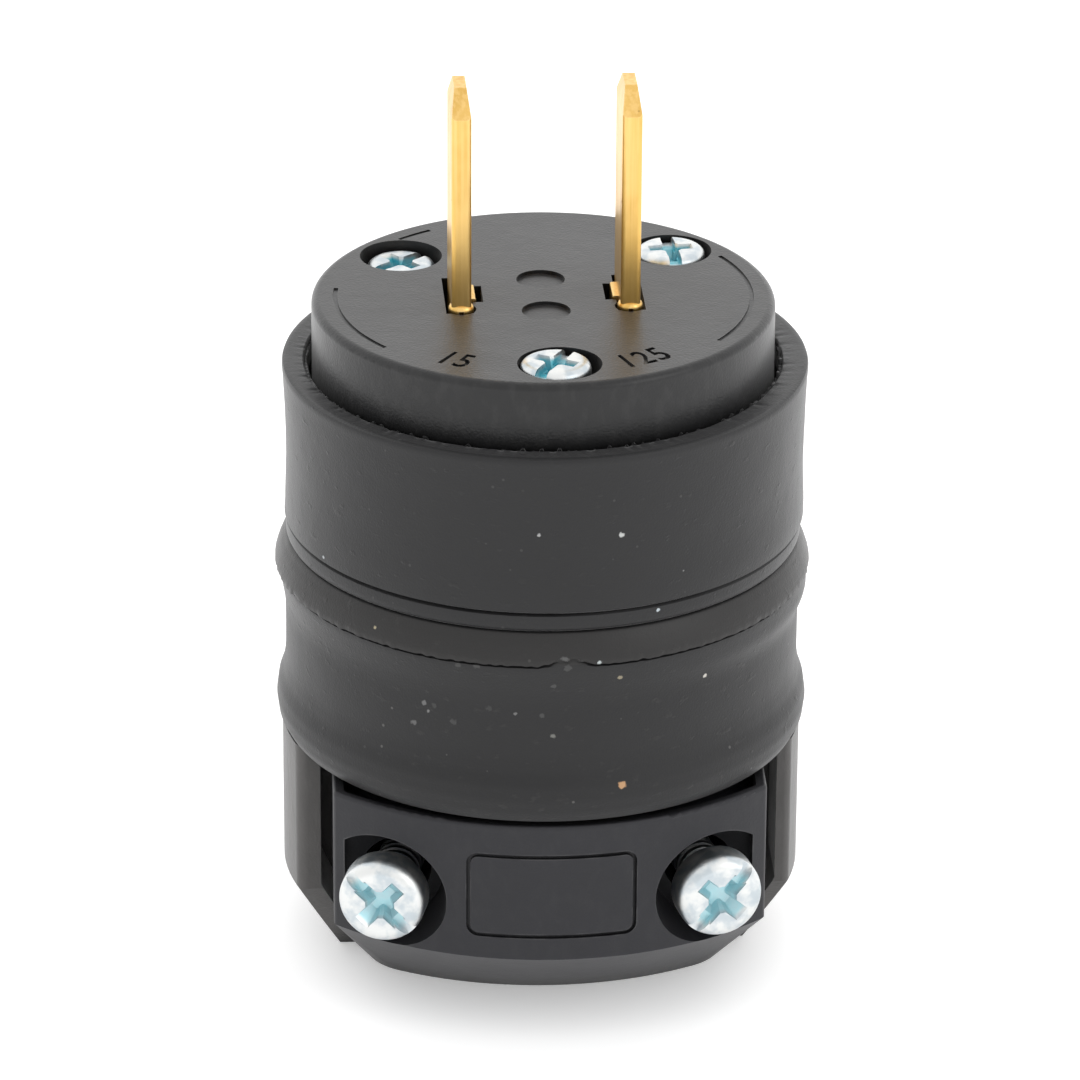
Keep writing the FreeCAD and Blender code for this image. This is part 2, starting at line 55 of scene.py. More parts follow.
# The two plain numbers on the face, each with the angle of its middle, counted from +X
NUMBERS = (("15", -120.8), ("125", -62.8))
NUMBER_HEIGHT = 2.4 * mm
NUMBER_RADIUS = 15.35 * mm
NUMBER_DEPTH = 0.25 * mm
CAPITAL_SHARE = 0.7
LETTER_SPREAD = 0.82

# Angles over which an edge stays sharp, and within which faces count as one flat
SLEEVE_SHARP = math.radians(38)
FACE_SHARP = math.radians(24)
FLAT_WITHIN = math.radians(0.2)

# What several finishes share: the black of painted shade deep in crevices, and the roughness of a
# coat of dust
PAINTED_SHADE_BLACK = (0.001, 0.001, 0.001)
DUST_ROUGHNESS = 0.4

# The photograph's camera: degrees round the plug, up and rolled, the point that it looks at,
# and its lens, with lens and sensor in millimetres
CAMERA_TURN = (-4.0, 24.331, 0.344)
CAMERA_AIM = Vector((-0.143, 0.010, 32.712)) * mm
CAMERA_DISTANCE = 500 * mm
CAMERA_LENS = 217.45
CAMERA_SENSOR = 36.0

# The studio: the room's light, how much more of it comes from behind, the floor's own glow and
# half width, and one lamp
ROOM_LIGHT = 1.43
ROOM_LIGHT_BEHIND = 0.30
FLOOR_GLOW = 0.27
FLOOR_HALF = 3.0
LAMP_PLACE = (0.75, -0.55, 0.55)
LAMP_SIZE = 0.6
LAMP_POWER = 1.5

# The sleeve's outside, from its foot to its rim: radius and height in millimetres, and how
# many steps lead to the point from the one before
SLEEVE_OUTSIDE = (
    (19.90, 0.00, 4), (20.28, 0.72, 3), (20.42, 1.80, 4), (20.27, 2.90, 4), (19.92, 3.90, 4),
    (19.74, 5.00, 3), (19.70, 5.80, 2), (19.69, 7.80, 4), (19.70, 9.60, 3), (19.79, 10.50, 3),
    (20.00, 11.70, 4), (20.14, 12.50, 3), (20.16, 12.76, 2), (19.98, 12.88, 2), (20.10, 12.97, 1),
    (20.48, 13.07, 2), (20.47, 13.35, 2), (20.27, 13.95, 3), (19.98, 14.65, 3), (19.72, 15.10, 2),
    (19.60, 15.34, 1), (19.36, 15.47, 2), (19.56, 15.60, 2), (19.68, 15.82, 2), (19.70, 16.77, 3),
    (19.56, 16.95, 2), (19.82, 17.13, 2), (19.80, 18.50, 3), (19.73, 20.30, 4),
    (19.70, 21.70, 3), (19.72, 23.50, 4), (19.79, 26.00, 5), (19.89, 28.30, 5), (19.95, 29.20, 3),
    (19.87, 29.42, 2), (19.65, 29.50, 2), (18.85, 29.47, 3), (18.20, 29.45, 2))

# Specks of dust on the rubber: angle from the front, height and radius in millimetres, colour
SPECKS = (
    (-4.6, 42.0, 0.20, (0.30, 0.30, 0.30)), (13.3, 41.7, 0.25, (0.42, 0.43, 0.42)),
    (-60.2, 36.1, 0.20, (0.35, 0.37, 0.39)), (22.0, 35.1, 0.18, (0.42, 0.47, 0.50)),
    (27.9, 37.9, 0.14, (0.22, 0.22, 0.22)), (8.3, 31.85, 0.20, (0.38, 0.42, 0.42)),
    (13.0, 30.2, 0.22, (0.22, 0.19, 0.13)), (34.3, 28.7, 0.22, (0.46, 0.44, 0.40)),
    (13.5, 21.4, 0.34, (0.42, 0.24, 0.12)), (-41.8, 32.7, 0.16, (0.30, 0.26, 0.17)),
    (-1.4, 25.6, 0.24, (0.13, 0.13, 0.12)), (-9.6, 27.4, 0.18, (0.12, 0.12, 0.12)),
    (-30.3, 27.3, 0.26, (0.11, 0.11, 0.11)), (-29.3, 26.7, 0.18, (0.14, 0.14, 0.14)),
    (-32.8, 25.5, 0.26, (0.09, 0.09, 0.09)), (0.9, 32.15, 0.36, (0.075, 0.075, 0.075)),
    (4.4, 31.75, 0.32, (0.050, 0.050, 0.050)), (1.6, 31.35, 0.36, (0.036, 0.036, 0.036)),
    (-17.7, 31.3, 0.32, (0.042, 0.042, 0.042)), (-21.8, 31.2, 0.28, (0.036, 0.036, 0.036)),
    (-1.3, 29.8, 0.24, (0.040, 0.040, 0.040)), (-3.8, 27.3, 0.28, (0.040, 0.040, 0.040)),
    (-15.4, 27.7, 0.30, (0.026, 0.026, 0.026)), (-23.4, 26.2, 0.30, (0.036, 0.036, 0.036)),
    (-27.9, 27.3, 0.26, (0.030, 0.030, 0.030)))


class Value:
    """A shader socket that takes part in arithmetic: each operator adds one Math node."""

    def __init__(self, finish, socket):
        self.finish = finish
        self.socket = socket

    def math(self, operation, first, second):
        return self.finish.add("Math", {"operation": operation}, {0: first, 1: second})

    def __add__(self, other):
        return self.math("ADD", self, other)

    def __sub__(self, other):
        return self.math("SUBTRACT", self, other)

    def __rsub__(self, other):
        return self.math("SUBTRACT", other, self)

    def __mul__(self, other):
        return self.math("MULTIPLY", self, other)

    def __truediv__(self, other):
        return self.math("DIVIDE", self, other)

    def __pow__(self, other):
        return self.math("POWER", self, other)

    __radd__ = __add__
    __rmul__ = __mul__

    def rise(self, low, high):
        """Zero at low, one at high and a smooth step between them; high may be the lower."""
        return self.finish.add("MapRange", {"interpolation_type": "SMOOTHSTEP"},
                               {"Value": self, "From Min": low, "From Max": high})

    def bump(self, distance, strength, under=None):
        """A normal raised by this value times a distance, on top of another normal."""
        inputs = {"Height": self, "Distance": distance, "Strength": strength}
        if under is not None:
            inputs["Normal"] = under
        return self.finish.add("Bump", {}, inputs)


class Nodes:
    """A node tree that is built by expressions on its values."""

    def __init__(self, tree):
        self.tree = tree
        tree.nodes.clear()

    def add(self, kind, settings, inputs, output=0):
        """A node of a kind: its settings first, then numbers or links in its sockets."""
        node = self.tree.nodes.new("ShaderNode" + kind)
        for name, value in settings.items():
            setattr(node, name, value)
        for name, value in inputs.items():
            if isinstance(value, Value):
                self.tree.links.new(value.socket, node.inputs[name])
            else:
                node.inputs[name].default_value = value
        return None if output is None else Value(self, node.outputs[output])


class Finish(Nodes):
    """One material: a Principled shader and the nodes that feed it."""

    def __init__(self, name, **constants):
        self.material = bpy.data.materials.new(name)
        self.material.use_nodes = True
        super().__init__(self.material.node_tree)
        self.place = self.add("TexCoord", {}, {}, "Object")
        self.shader = self.add("BsdfPrincipled", {},
                               {key.replace("_", " "): value for key, value in constants.items()})
        self.add("OutputMaterial", {}, {"Surface": self.shader}, None)

    def wear(self, **sockets):
        """Links values to the shader's own sockets."""
        inputs = self.shader.socket.node.inputs
        for name, value in sockets.items():
            self.tree.links.new(value.socket, inputs[name.replace("_", " ")])
        return self

    def vector(self, operation, first, second, output=0):
        """A vector sum: output 0 is a vector and output "Value" a number."""
        return self.add("VectorMath", {"operation": operation}, {0: first, 1: second}, output)

    def axis(self, name):
        """One coordinate of the place."""
        return self.add("SeparateXYZ", {}, {"Vector": self.place}, name)

    def grain(self, size, detail, stretch=(1, 1, 1), at=(0, 0, 0)):
        """Noise from zero to one in lumps of about a size, drawn out on each axis by stretch."""
        scaled = self.add("Mapping", {}, {"Vector": self.place, "Location": at,
                                          "Scale": tuple(1 / (size * s) for s in stretch)})
        return self.add("TexNoise", {}, {"Vector": scaled, "Scale": 1.0, "Detail": detail})

    def flecks(self, size, wide, narrow, few, fewer):
        """One in the middle of some of the cells about a size across, whose own number is high."""
        inputs = {"Vector": self.place, "Scale": 1 / size}
        middle = self.add("TexVoronoi", {}, inputs, "Distance").rise(wide, narrow)
        return middle * self.add("TexVoronoi", {}, inputs, "Color").rise(few, fewer)

    def colour(self, mask, low, high):
        """The low colour where the mask is zero and the high one where it is one."""
        ends = [end if isinstance(end, Value) else (*end, 1) for end in (low, high)]
        return self.add("Mix", {"data_type": "RGBA"}, {0: mask, 6: ends[0], 7: ends[1]}, 2)

    def edges(self, radius):
        """One along sharp edges: how far a normal rounded by a radius leans from the true one."""
        soft = self.add("Bevel", {"samples": 4}, {"Radius": radius})
        true = self.add("NewGeometry", {}, {}, "Normal")
        lean = 1 - self.vector("DOT_PRODUCT", soft, true, "Value")
        return lean.rise(0.02, 0.25)

    def gap(self, reach):
        """A mask for painted shade: one deep in crevices and zero in the open, judged by what
        stands within a reach.
        """
        light = self.add("AmbientOcclusion", {"samples": 3}, {"Distance": reach}, "AO")
        return light.rise(0.60, 0.15)

    def spot(self, centre, radius, uneven):
        """One inside a small lump round a point, with a soft edge that an uneven field shifts."""
        away = self.vector("DISTANCE", self.place, centre, "Value") + (uneven - 0.5) * radius * 1.6
        return away.rise(radius, radius * 0.45)


def rubber():
    """Dull black rubber: cloudy, a little dusty and scuffed, brownish on the ring's flank, with
    painted shade deep in crevices.
    """
    f = Finish("black_rubber", IOR=1.42, Sheen_Weight=0.18, Sheen_Roughness=DUST_ROUGHNESS)
    cloud = f.grain(7 * mm, 4.0)
    fine = f.grain(0.16 * mm, 3.0)
    rubbed = f.grain(1.1 * mm, 4.0, stretch=(1, 1, 0.6), at=(3, 1, 7)).rise(0.60, 0.78)
    height = f.axis("Z")
    flank = (height.rise(FLANK_FOOT, FLANK_FOOT + 0.1 * mm)
             * height.rise(FLANK_TOP, FLANK_TOP - 0.2 * mm))
    low = height.rise(FLANK_FOOT, FLANK_FOOT - 4.6 * mm)
    base = f.colour(cloud, (0.0045, 0.0045, 0.0053), (0.0090, 0.0088, 0.0096))
    base = f.colour(flank * 0.4, base, (0.0175, 0.0155, 0.0140))
    base = f.colour(rubbed * (0.10 + low * 0.14), base, (0.055, 0.053, 0.050))
    fleck = f.flecks(1.35 * mm, 0.105, 0.06, 0.58, 0.63)
    base = f.colour(fleck * (0.14 + low * 0.26), base, (0.16, 0.155, 0.15))
    uneven = f.grain(0.30 * mm, 3.0)
    radii, levels = np.array(SLEEVE_OUTSIDE)[:, :2].T
    for angle, level, size, tint in SPECKS:
        reach = np.interp(level - BASE_HEIGHT / mm, levels, radii) * mm
        turn = math.radians(angle)
        centre = (reach * math.sin(turn), -reach * math.cos(turn), level * mm)
        base = f.colour(f.spot(centre, size * mm, uneven), base, tint)
    # Painted shade: the colour goes black deep in crevices, where little light reaches.
    base = f.colour(f.gap(1.5 * mm), base, PAINTED_SHADE_BLACK)
    rough = 0.38 + cloud * 0.08 + rubbed * 0.08 + low * 0.10
    normal = fine.bump(0.035 * mm, 0.6)
    normal = (cloud + rubbed * 0.2).bump(0.25 * mm, 0.5, normal)
    return f.wear(Base_Color=base, Roughness=rough, Normal=normal)


def moulded(name, dark, light, gloss, scuff, skin, dust, index=1.42):
    """Moulded black plastic: fine matt skin, clouds of gloss, pale edges that are partly rubbed and
    partly a painted highlight, scuffs and dust, and painted shade deep in crevices.

    Dark and light are the ends of its cloudy colour. Gloss is its least roughness, scuff and dust
    are from zero to one, skin is the height of its grain and index its index of refraction.
    """
    f = Finish(name, IOR=index, Sheen_Weight=dust, Sheen_Roughness=DUST_ROUGHNESS)
    cloud = f.grain(5 * mm, 4.0)
    fine = f.grain(0.20 * mm, 2.0)
    worn_and_highlit_edges = f.edges(0.20 * mm) * f.grain(1.6 * mm, 3.0, at=(5, 2, 1)).rise(0.38, 0.62)
    scuffs = f.grain(0.9 * mm, 6.0, stretch=(1, 1, 1.8), at=(2, 8, 4)).rise(0.46, 0.72) * scuff
    base = f.colour(cloud, dark, light)
    base = f.colour(scuffs, base, (0.11, 0.107, 0.105))
    # Pale edges: partly rubbed wear, partly a painted highlight along the sharp edges.
    base = f.colour(worn_and_highlit_edges * 0.45, base, (0.12, 0.12, 0.12))
    # Painted shade: the colour goes black deep in crevices, where little light reaches.
    base = f.colour(f.gap(2.5 * mm), base, PAINTED_SHADE_BLACK)
    normal = fine.bump(skin, 0.5)
    normal = (cloud + scuffs).bump(0.12 * mm, 0.5, normal)
    return f.wear(Base_Color=base, Roughness=gloss + cloud * 0.10 + scuffs * 0.2, Normal=normal)


def blade_brass():
    """Rolled brass: bright and dull bands along the blade, small dark pits, pale edges that are
    partly burred and partly a painted highlight.
    """
    f = Finish("blade_brass", Metallic=1.0)
    bands = f.grain(0.40 * mm, 2.0, stretch=(1, 1, 60))
    lines = f.grain(0.09 * mm, 3.0, stretch=(1, 1, 30))
    cloud = f.grain(2.2 * mm, 4.0, stretch=(1, 1, 1.8))
    pits = f.flecks(0.55 * mm, 0.22, 0.10, 0.62, 0.74)
    edge = f.edges(0.16 * mm)
    base = f.colour(cloud.rise(0.35, 0.68), (0.82, 0.53, 0.165), (0.70, 0.43, 0.115))
    base = f.colour(bands.rise(0.40, 0.62) * 0.45, base, (0.96, 0.68, 0.29))
    base = f.colour(lines * 0.25, base, (0.50, 0.28, 0.060))
    # Pale edges: partly burrs, partly a painted highlight along the edges.
    base = f.colour(edge * 0.5, base, (0.95, 0.75, 0.42))
    base = f.colour(pits * 0.45, base, (0.30, 0.165, 0.055))
    normal = (lines + bands * 1.5).bump(0.012 * mm, 0.6)
    normal = cloud.bump(0.06 * mm, 0.4, normal)
    return f.wear(Base_Color=base, Roughness=0.26 + cloud * 0.14 + pits * 0.2, Normal=normal)


def turned_brass():
    """Plain turned brass of the terminals, dull between its clouds."""
    f = Finish("terminal_brass", Metallic=1.0)
    cloud = f.grain(1.5 * mm, 4.0)
    base = f.colour(cloud, (0.60, 0.42, 0.19), (0.78, 0.60, 0.32))
    normal = cloud.bump(0.03 * mm, 0.4)
    return f.wear(Base_Color=base, Roughness=0.30 + cloud * 0.15, Normal=normal)


def bright_zinc(name, top, outward, head_radius, head_height, blue):
    """Bright zinc plate on a screw: a clean cloudy head, blue in its recess, and a turned thread.

    Depth runs down the screw from the top of its head and reach is the distance from its axis.
    The recess is within about three quarters of the head's radius, deeper than a quarter of a
    millimetre and above the head's underside. The shank is below the head. The height of its
    thread is a triangle wave of depth / pitch + angle / full turn.
    """
    f = Finish(name)
    outward = outward.normalized()
    across = outward.orthogonal().normalized()
    beside = outward.cross(across)
    away = f.vector("SUBTRACT", f.place, tuple(top))
    depth = 0 - f.vector("DOT_PRODUCT", away, tuple(outward), "Value")
    first = f.vector("DOT_PRODUCT", away, tuple(across), "Value")
    second = f.vector("DOT_PRODUCT", away, tuple(beside), "Value")
    reach = (first * first + second * second) ** 0.5
    sunk = depth.rise(0.10 * mm, 0.42 * mm) * depth.rise(head_height, head_height * 0.9)
    recess = sunk * reach.rise(head_radius * 0.86, head_radius * 0.62)
    cloud = f.grain(1.1 * mm, 3.0)
    fine = f.grain(0.12 * mm, 3.0)
    shank = (depth.rise(head_height, head_height + 0.1 * mm)
             * reach.rise(head_radius * 0.72, head_radius * 0.66))
    turn = f.add("Math", {"operation": "ARCTAN2"}, {0: second, 1: first}) / math.tau
    winding = depth / THREAD_PITCH + turn
    thread = f.add("Math", {"operation": "PINGPONG"}, {0: winding, 1: 0.5})
    base = f.colour(cloud.rise(0.35, 0.65), (0.50, 0.55, 0.58), (0.72, 0.73, 0.72))
    base = f.colour(recess * (0.60 + cloud.rise(0.30, 0.62) * 0.40), base, blue)
    base = f.colour(shank * (1 - thread * 2) * 0.6, base, (0.15, 0.15, 0.145))
    normal = (fine * 0.3 + cloud).bump(0.05 * mm, 0.5)
    normal = (thread * shank).bump(THREAD_PITCH, 1.0, normal)
    return f.wear(Base_Color=base, Metallic=1 - recess * 0.5, Roughness=0.28 + cloud * 0.16,
                  Normal=normal)


def pressed_resin():
    """The carrier's brown pressed resin, with a short fibre fleck."""
    f = Finish("carrier_resin", Specular_IOR_Level=0.5)
    cloud = f.grain(3 * mm, 4.0)
    fibre = f.grain(0.35 * mm, 3.0, stretch=(3, 1, 1)).rise(0.45, 0.7)
    base = f.colour(cloud, (0.10, 0.05, 0.025), (0.16, 0.085, 0.045))
    base = f.colour(fibre * 0.35, base, (0.24, 0.15, 0.09))
    normal = fibre.bump(0.02 * mm, 0.5)
    return f.wear(Base_Color=base, Roughness=0.42 + fibre * 0.15, Normal=normal)


def floor_paint():
    """The pale floor, with barely seen clouds."""
    f = Finish("pale_floor", Emission_Color=(1, 1, 1, 1), Emission_Strength=FLOOR_GLOW)
    cloud = f.grain(0.25, 2.0)
    base = f.colour(cloud, (0.93, 0.93, 0.93), (0.95, 0.95, 0.95))
    return f.wear(Base_Color=base, Roughness=0.6 + cloud * 0.05)


def ripple(angle, along, terms, low, high, seed):
    """A smooth uneven field over a turned surface, between about minus one and one.

    It is the sum of cosines of (whole number * angle + rate * along + phase), divided by the
    root of their count: the numbers between low and high, the rates within one wave per 6 mm
    and the phases all round.
    """
    numbers = np.random.default_rng(seed)
    waves = numbers.integers(low, high, terms)
    rates = numbers.uniform(-1, 1, terms) * math.tau / (6 * mm)
    phases = numbers.uniform(0, math.tau, terms)
    field = sum(np.cos(w * angle + r * along + p) for w, r, p in zip(waves, rates, phases))
    return field / math.sqrt(terms)


def ring_mesh(name, points):
    """A closed ring of four-sided faces over a grid of points, which joins up both ways round."""
    rows, columns = points.shape[:2]
    number = np.pad(np.arange(rows * columns).reshape(rows, columns), (0, 1), mode="wrap")
    faces = np.stack([number[:-1, :-1], number[1:, :-1], number[1:, 1:], number[:-1, 1:]], -1)
    mesh = bpy.data.meshes.new(name)
    mesh.from_pydata(points.reshape(-1, 3).tolist(), [], faces.reshape(-1, 4).tolist())
    mesh.shade_smooth()
    mesh.set_sharp_from_angle(angle=SLEEVE_SHARP)
    piece = bpy.data.objects.new(name, mesh)
    bpy.context.scene.collection.objects.link(piece)
    return piece


def sleeve_outline():
    """The closed outline of the sleeve's wall as radius and height, in even steps on each run."""
    bore = SLEEVE_BORE / mm
    knots = [(bore, 29.35, 0), (bore, 0.15, 12), (bore + 0.15, 0.0, 1), *SLEEVE_OUTSIDE]
    radius, height = [], []
    for (r0, z0, _), (r1, z1, steps) in zip(knots, knots[1:]):
        share = np.arange(steps) / steps
        radius.append(r0 + (r1 - r0) * share)
        height.append(z0 + (z1 - z0) * share)
    radius.append([knots[-1][0]])
    height.append([knots[-1][1]])
    return np.concatenate(radius) * mm, np.concatenate(height) * mm


def hill(values, middle, width):
    """One at the middle, falling away on both sides as the exponential of minus the square."""
    return np.exp(-((values - middle) / width) ** 2)


def make_sleeve_skin():
    """The rubber sleeve with the unevenness of the real one.

    The point at (angle, step) is the outline's radius and height at the step, turned to the
    angle, with the radius less a shallow dent: broad waves all over, a ragged lip and rim, a
    seam that comes and goes. Three millimetres of the lip at the front are torn: its edge
    stands half a millimetre higher there and its groove is filled. The upper half leans a
    sixth of a millimetre to +X, and the ring swells a third of one under its lip on that side.
    Heights are counted from the sleeve's foot.
    """
    lip_level, seam_level, rim_level = 13.10 * mm, 16.95 * mm, 29.5 * mm
    groove_level, swell_level, tear_level = 12.88 * mm, 11.3 * mm, 13.0 * mm
    tear_angle, tear_width, tear_rise = math.radians(271.9), 0.065, 0.52 * mm
    lean_level, lean_height = 14.5 * mm, 3.5 * mm
    radius, height = sleeve_outline()
    angle = np.linspace(0, math.tau, 720, endpoint=False)
    turn, out = np.meshgrid(angle, radius, indexing="ij")
    turn, up = np.meshgrid(angle, height, indexing="ij")
    outside = np.clip((out - 18.6 * mm) / (0.6 * mm), 0, 1)
    broad = 0.5 + 0.5 * ripple(turn, up, 9, 1, 5, 3)
    fine = ripple(turn, up, 40, 30, 170, 5)
    lip = hill(up, lip_level, 0.35 * mm)
    rim = hill(up, rim_level, 0.2 * mm) * hill(out, SLEEVE_BORE + 0.1 * mm, 0.6 * mm)
    seam = hill(up, seam_level, 0.16 * mm)
    comes_and_goes = 0.5 * ripple(turn, up * 0, 8, 2, 9, 8)
    open_seam = np.clip(0.5 - 0.6 * np.sin(turn + 0.4) + comes_and_goes, 0, 1)
    from_tear = (turn - tear_angle + math.pi) % math.tau - math.pi
    torn = np.clip(1.5 * hill(from_tear, 0, tear_width), 0, 1) * np.clip(0.9 + 0.15 * fine, 0, 1.1)
    dent = 0.03 * mm * np.clip(broad, 0, 1) + 0.05 * mm * lip * np.clip(0.5 + 0.5 * fine, 0, 2)
    dent += 0.12 * mm * seam * open_seam - 0.10 * mm * seam * (1 - open_seam)
    dent += 0.10 * mm * torn * hill(up, lip_level + 0.1 * mm, 0.3 * mm)
    dent -= 0.16 * mm * torn * hill(up, groove_level, 0.1 * mm)
    dent -= 0.35 * mm * hill(up, swell_level, 1.1 * mm) * np.clip(np.cos(turn), 0, 1) ** 2
    out = out - dent * outside
    up = up - 0.05 * mm * rim * np.clip(0.2 + 0.8 * fine, 0, 2) + 0.03 * mm * lip * fine
    up = up + tear_rise * torn * outside * hill(up, tear_level, 0.42 * mm)
    lean = 0.17 * mm * outside * np.clip((up - lean_level) / lean_height, 0, 1)
    points = np.stack([out * np.cos(turn) + lean, out * np.sin(turn), up + BASE_HEIGHT], -1)
    return ring_mesh("sleeve_skin", points)


def make_rim_flash():
    """The thin ragged skin left inside the sleeve's rim.

    At each angle it is an upright strip a quarter of a millimetre thick just inside the bore.
    Its top is a level plus the part of an uneven field above zero, a lot at the front and on
    the right and little elsewhere, and its inner side wanders by a fifth of its thickness.
    """
    flash_top, flash_foot, flash_inner = 47.72 * mm, 46.6 * mm, 17.82 * mm
    angle = np.linspace(0, math.tau, 1200, endpoint=False)
    tooth = np.clip(ripple(angle, angle * 0, 50, 12, 190, 21) + 0.3, 0, 1.5)
    strong = np.clip(0.55 - 0.75 * np.sin(angle - 0.5), 0.12, 1)
    top = flash_top + 0.30 * mm * tooth * strong
    inner = flash_inner + 0.05 * mm * ripple(angle, angle * 0, 20, 5, 60, 4)
    outer = SLEEVE_BORE - 0.04 * mm + angle * 0
    low = flash_foot + angle * 0
    section = ((inner, low), (outer, low), (outer, top - 0.04 * mm), (inner + 0.07 * mm, top),
               (inner, top - 0.1 * mm))
    across, along = np.cos(angle), np.sin(angle)
    points = np.stack([np.stack([r * across, r * along, z], -1) for r, z in section], 1)
    return ring_mesh("rim_flash", points)


def curved_words(text, height, middle_angle, radius):
    """Solid letters along an arc of the face, as a mesh, with their heads towards the middle.

    A point (along, up) of the straight line of text goes to the angle middle + spread * along /
    radius and the distance radius - up from the plug's axis.
    """
    curve = bpy.data.curves.new(text, "FONT")
    curve.body = text
    curve.size = height / CAPITAL_SHARE
    curve.align_x = "CENTER"
    curve.space_character = 1.08
    curve.extrude = 2 * NUMBER_DEPTH
    curve.offset = 0.05 * mm
    curve.resolution_u = 3
    letters = bpy.data.objects.new(text, curve)
    bpy.context.scene.collection.objects.link(letters)
    bpy.context.view_layer.update()
    mesh = bpy.data.meshes.new_from_object(letters)
    bpy.data.objects.remove(letters)
    straight = np.empty(len(mesh.vertices) * 3)
    mesh.vertices.foreach_get("co", straight)
    along, up, stand = straight.reshape(-1, 3).T
    turn = math.radians(middle_angle) + along * LETTER_SPREAD / radius
    reach = radius - up
    level = FACE_LEVEL + NUMBER_DEPTH + stand
    bent = np.stack([reach * np.cos(turn), reach * np.sin(turn), level], -1)
    mesh.vertices.foreach_set("co", bent.ravel())
    return mesh


def merged_copy(node, name):
    """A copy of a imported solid's mesh, its loose triangles joined and each flat area one face."""
    mesh = nodes[node].data.copy()
    mesh.attributes.remove(mesh.attributes["custom_normal"])
    work = bmesh.new()
    work.from_mesh(mesh)
    bmesh.ops.remove_doubles(work, verts=work.verts, dist=1e-7)
    bmesh.ops.dissolve_limit(work, angle_limit=FLAT_WITHIN, verts=work.verts, edges=work.edges)
    work.to_mesh(mesh)
    work.free()
    piece = bpy.data.objects.new(name, mesh)
    bpy.context.scene.collection.objects.link(piece)
    return piece


def make_marked_face():
    """The face plate with two plain numbers cut a quarter of a millimetre into it."""
    face = merged_copy("face_plate", "marked_face")
    for text, middle_angle in NUMBERS:
        words = curved_words(text, NUMBER_HEIGHT, middle_angle, NUMBER_RADIUS)
        letters = bpy.data.objects.new(text, words)
        bpy.context.scene.collection.objects.link(letters)
        cut = face.modifiers.new("cut", "BOOLEAN")
        cut.operation = "DIFFERENCE"
        cut.solver = "EXACT"
        cut.object = letters
        bpy.context.view_layer.update()
        carved = face.evaluated_get(bpy.context.evaluated_depsgraph_get())
        face.data = bpy.data.meshes.new_from_object(carved)
        face.modifiers.clear()
        bpy.data.objects.remove(letters)
    face.data.shade_smooth()
    face.data.set_sharp_from_angle(angle=FACE_SHARP)
    flat = face.modifiers.new("flat", "WEIGHTED_NORMAL")
    flat.keep_sharp = True
    return face


def put_on(piece, finish):
    """Gives a piece one finish."""
    if piece.material_slots:
        for place in piece.material_slots:
            place.material = finish.material
    else:
        piece.data.materials.append(finish.material)


def head_place(side):
    """The middle of a clamp screw's head face, and the way it looks."""
    at = Vector((side * CLAMP_HEAD_FACE.x, CLAMP_HEAD_FACE.y, CLAMP_HEAD_FACE.z))
    turn = Matrix.Rotation(BODY_TURN, 3, "Z")
    outward = turn @ Matrix.Rotation(side * SCREW_SPLAY, 3, "Z") @ Vector((0, -1, 0))
    return turn @ at, outward


def dress_screws():
    """Puts zinc, centred on the screw's own head, on each screw and on the clamp's nuts."""
    for name in ("front", "left", "right"):
        node = "face_screw_" + name
        low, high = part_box(node)
        top = Vector(((low.x + high.x) / 2, (low.y + high.y) / 2, high.z))
        put_on(nodes[node], bright_zinc("zinc_" + node, top, Vector((0, 0, 1)), FACE_HEAD_RADIUS,
                                        FACE_HEAD_HEIGHT, blue=(0.08, 0.44, 0.53)))
    for name, side in (("left", -1), ("right", 1)):
        top, outward = head_place(side)
        zinc = bright_zinc("zinc_clamp_" + name, top, outward, CLAMP_HEAD_RADIUS,
                           CLAMP_HEAD_HEIGHT, blue=(0.40, 0.64, 0.69))
        put_on(nodes["clamp_screw_" + name], zinc)
        put_on(nodes["clamp_nut_" + name], zinc)


def make_camera():
    """The photograph's camera: half a metre from its aim, with its own turn, height and roll."""
    azimuth, elevation, roll = (math.radians(angle) for angle in CAMERA_TURN)
    back = Vector((math.sin(azimuth) * math.cos(elevation),
                   -math.cos(azimuth) * math.cos(elevation), math.sin(elevation)))
    level = Vector((math.cos(azimuth), math.sin(azimuth), 0))
    upright = back.cross(level)
    right = level * math.cos(roll) + upright * math.sin(roll)
    up = upright * math.cos(roll) - level * math.sin(roll)
    lens = bpy.data.cameras.new("camera")
    lens.lens = CAMERA_LENS
    lens.sensor_width = CAMERA_SENSOR
    lens.clip_start = 0.05
    camera = bpy.data.objects.new("camera", lens)
    camera.matrix_world = Matrix((right, up, back)).transposed().to_4x4()
    camera.location = CAMERA_AIM + back * CAMERA_DISTANCE
    bpy.context.scene.collection.objects.link(camera)
    bpy.context.scene.camera = camera


def make_lamp(place, size, power):
    """A square soft lamp at a place, turned to the plug."""
    data = bpy.data.lights.new("soft_lamp", "AREA")
    data.size = size
    data.energy = power
    lamp = bpy.data.objects.new("soft_lamp", data)
    lamp.location = place
    lamp.rotation_euler = Vector(place).to_track_quat("Z", "Y").to_euler()
    bpy.context.scene.collection.objects.link(lamp)


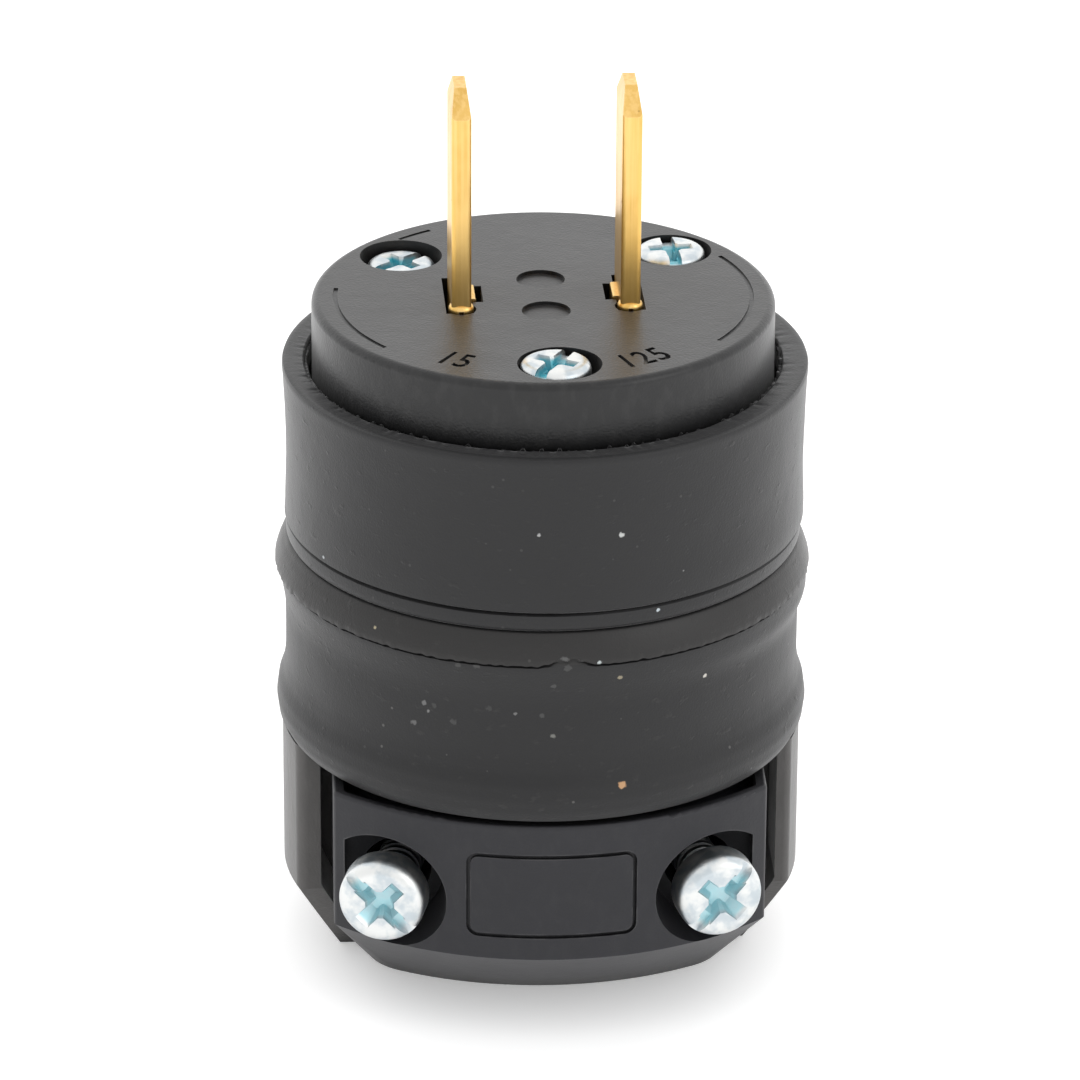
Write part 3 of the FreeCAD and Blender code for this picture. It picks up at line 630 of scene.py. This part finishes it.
def make_studio():
    """A white room: soft light from every side, more from behind, one lamp and a pale floor."""
    scene = bpy.context.scene
    scene.view_settings.view_transform = "Standard"
    scene.world = bpy.data.worlds.new("studio")
    scene.world.use_nodes = True
    room = Nodes(scene.world.node_tree)
    way = room.add("SeparateXYZ", {}, {"Vector": room.add("TexCoord", {}, {}, "Generated")}, "Y")
    light = ROOM_LIGHT + way.rise(-0.5, 0.9) * ROOM_LIGHT_BEHIND
    sky = room.add("Background", {}, {"Strength": light})
    room.add("OutputWorld", {}, {"Surface": sky}, None)
    make_lamp(LAMP_PLACE, LAMP_SIZE, LAMP_POWER)
    mesh = bpy.data.meshes.new("floor")
    corners = [(x * FLOOR_HALF, y * FLOOR_HALF, 0) for x, y in ((-1, -1), (1, -1), (1, 1), (-1, 1))]
    mesh.from_pydata(corners, [], [(0, 1, 2, 3)])
    floor = bpy.data.objects.new("floor", mesh)
    scene.collection.objects.link(floor)
    put_on(floor, floor_paint())


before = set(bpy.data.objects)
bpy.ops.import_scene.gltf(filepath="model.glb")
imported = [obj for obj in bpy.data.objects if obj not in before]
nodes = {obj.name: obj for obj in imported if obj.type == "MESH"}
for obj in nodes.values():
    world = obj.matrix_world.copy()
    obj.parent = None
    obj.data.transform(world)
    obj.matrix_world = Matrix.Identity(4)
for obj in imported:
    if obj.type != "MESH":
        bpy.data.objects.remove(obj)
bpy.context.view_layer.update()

make_camera()
make_studio()

face_black = moulded("face_plastic", dark=(0.0075, 0.0075, 0.0080), light=(0.0135, 0.0135, 0.0140),
                     gloss=0.28, scuff=0.07, skin=0.045 * mm, dust=0.14)
body_black = moulded("body_plastic", dark=(0.0680, 0.0655, 0.0640), light=(0.1050, 0.1010, 0.0985),
                     gloss=0.48, scuff=0.25, skin=0.05 * mm, dust=0.3, index=1.32)
clamp_black = moulded("clamp_plastic", dark=(0.0150, 0.0150, 0.0180),
                      light=(0.0210, 0.0210, 0.0245), gloss=0.40, scuff=0.03, skin=0.03 * mm,
                      dust=0.02, index=1.36)
for finish, names in ((face_black, ("face_plate",)), (body_black, ("housing",)),
                      (clamp_black, ("cord_clamp",)), (pressed_resin(), ("terminal_carrier",)),
                      (blade_brass(), ("blade_left", "blade_right")),
                      (turned_brass(), ("wire_plate_left", "wire_plate_right",
                                        "terminal_screw_left", "terminal_screw_right"))):
    for name in names:
        put_on(nodes[name], finish)
dress_screws()

sleeve_skin = make_sleeve_skin()
rim_flash = make_rim_flash()
marked_face = make_marked_face()
black_rubber = rubber()
for piece, finish, slot in ((sleeve_skin, black_rubber, "rubber_black"),
                            (rim_flash, black_rubber, "rubber_black"),
                            (marked_face, face_black, "face_black")):
    put_on(piece, finish)
    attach(piece, "plug")
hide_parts("sleeve")
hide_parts("face_plate")
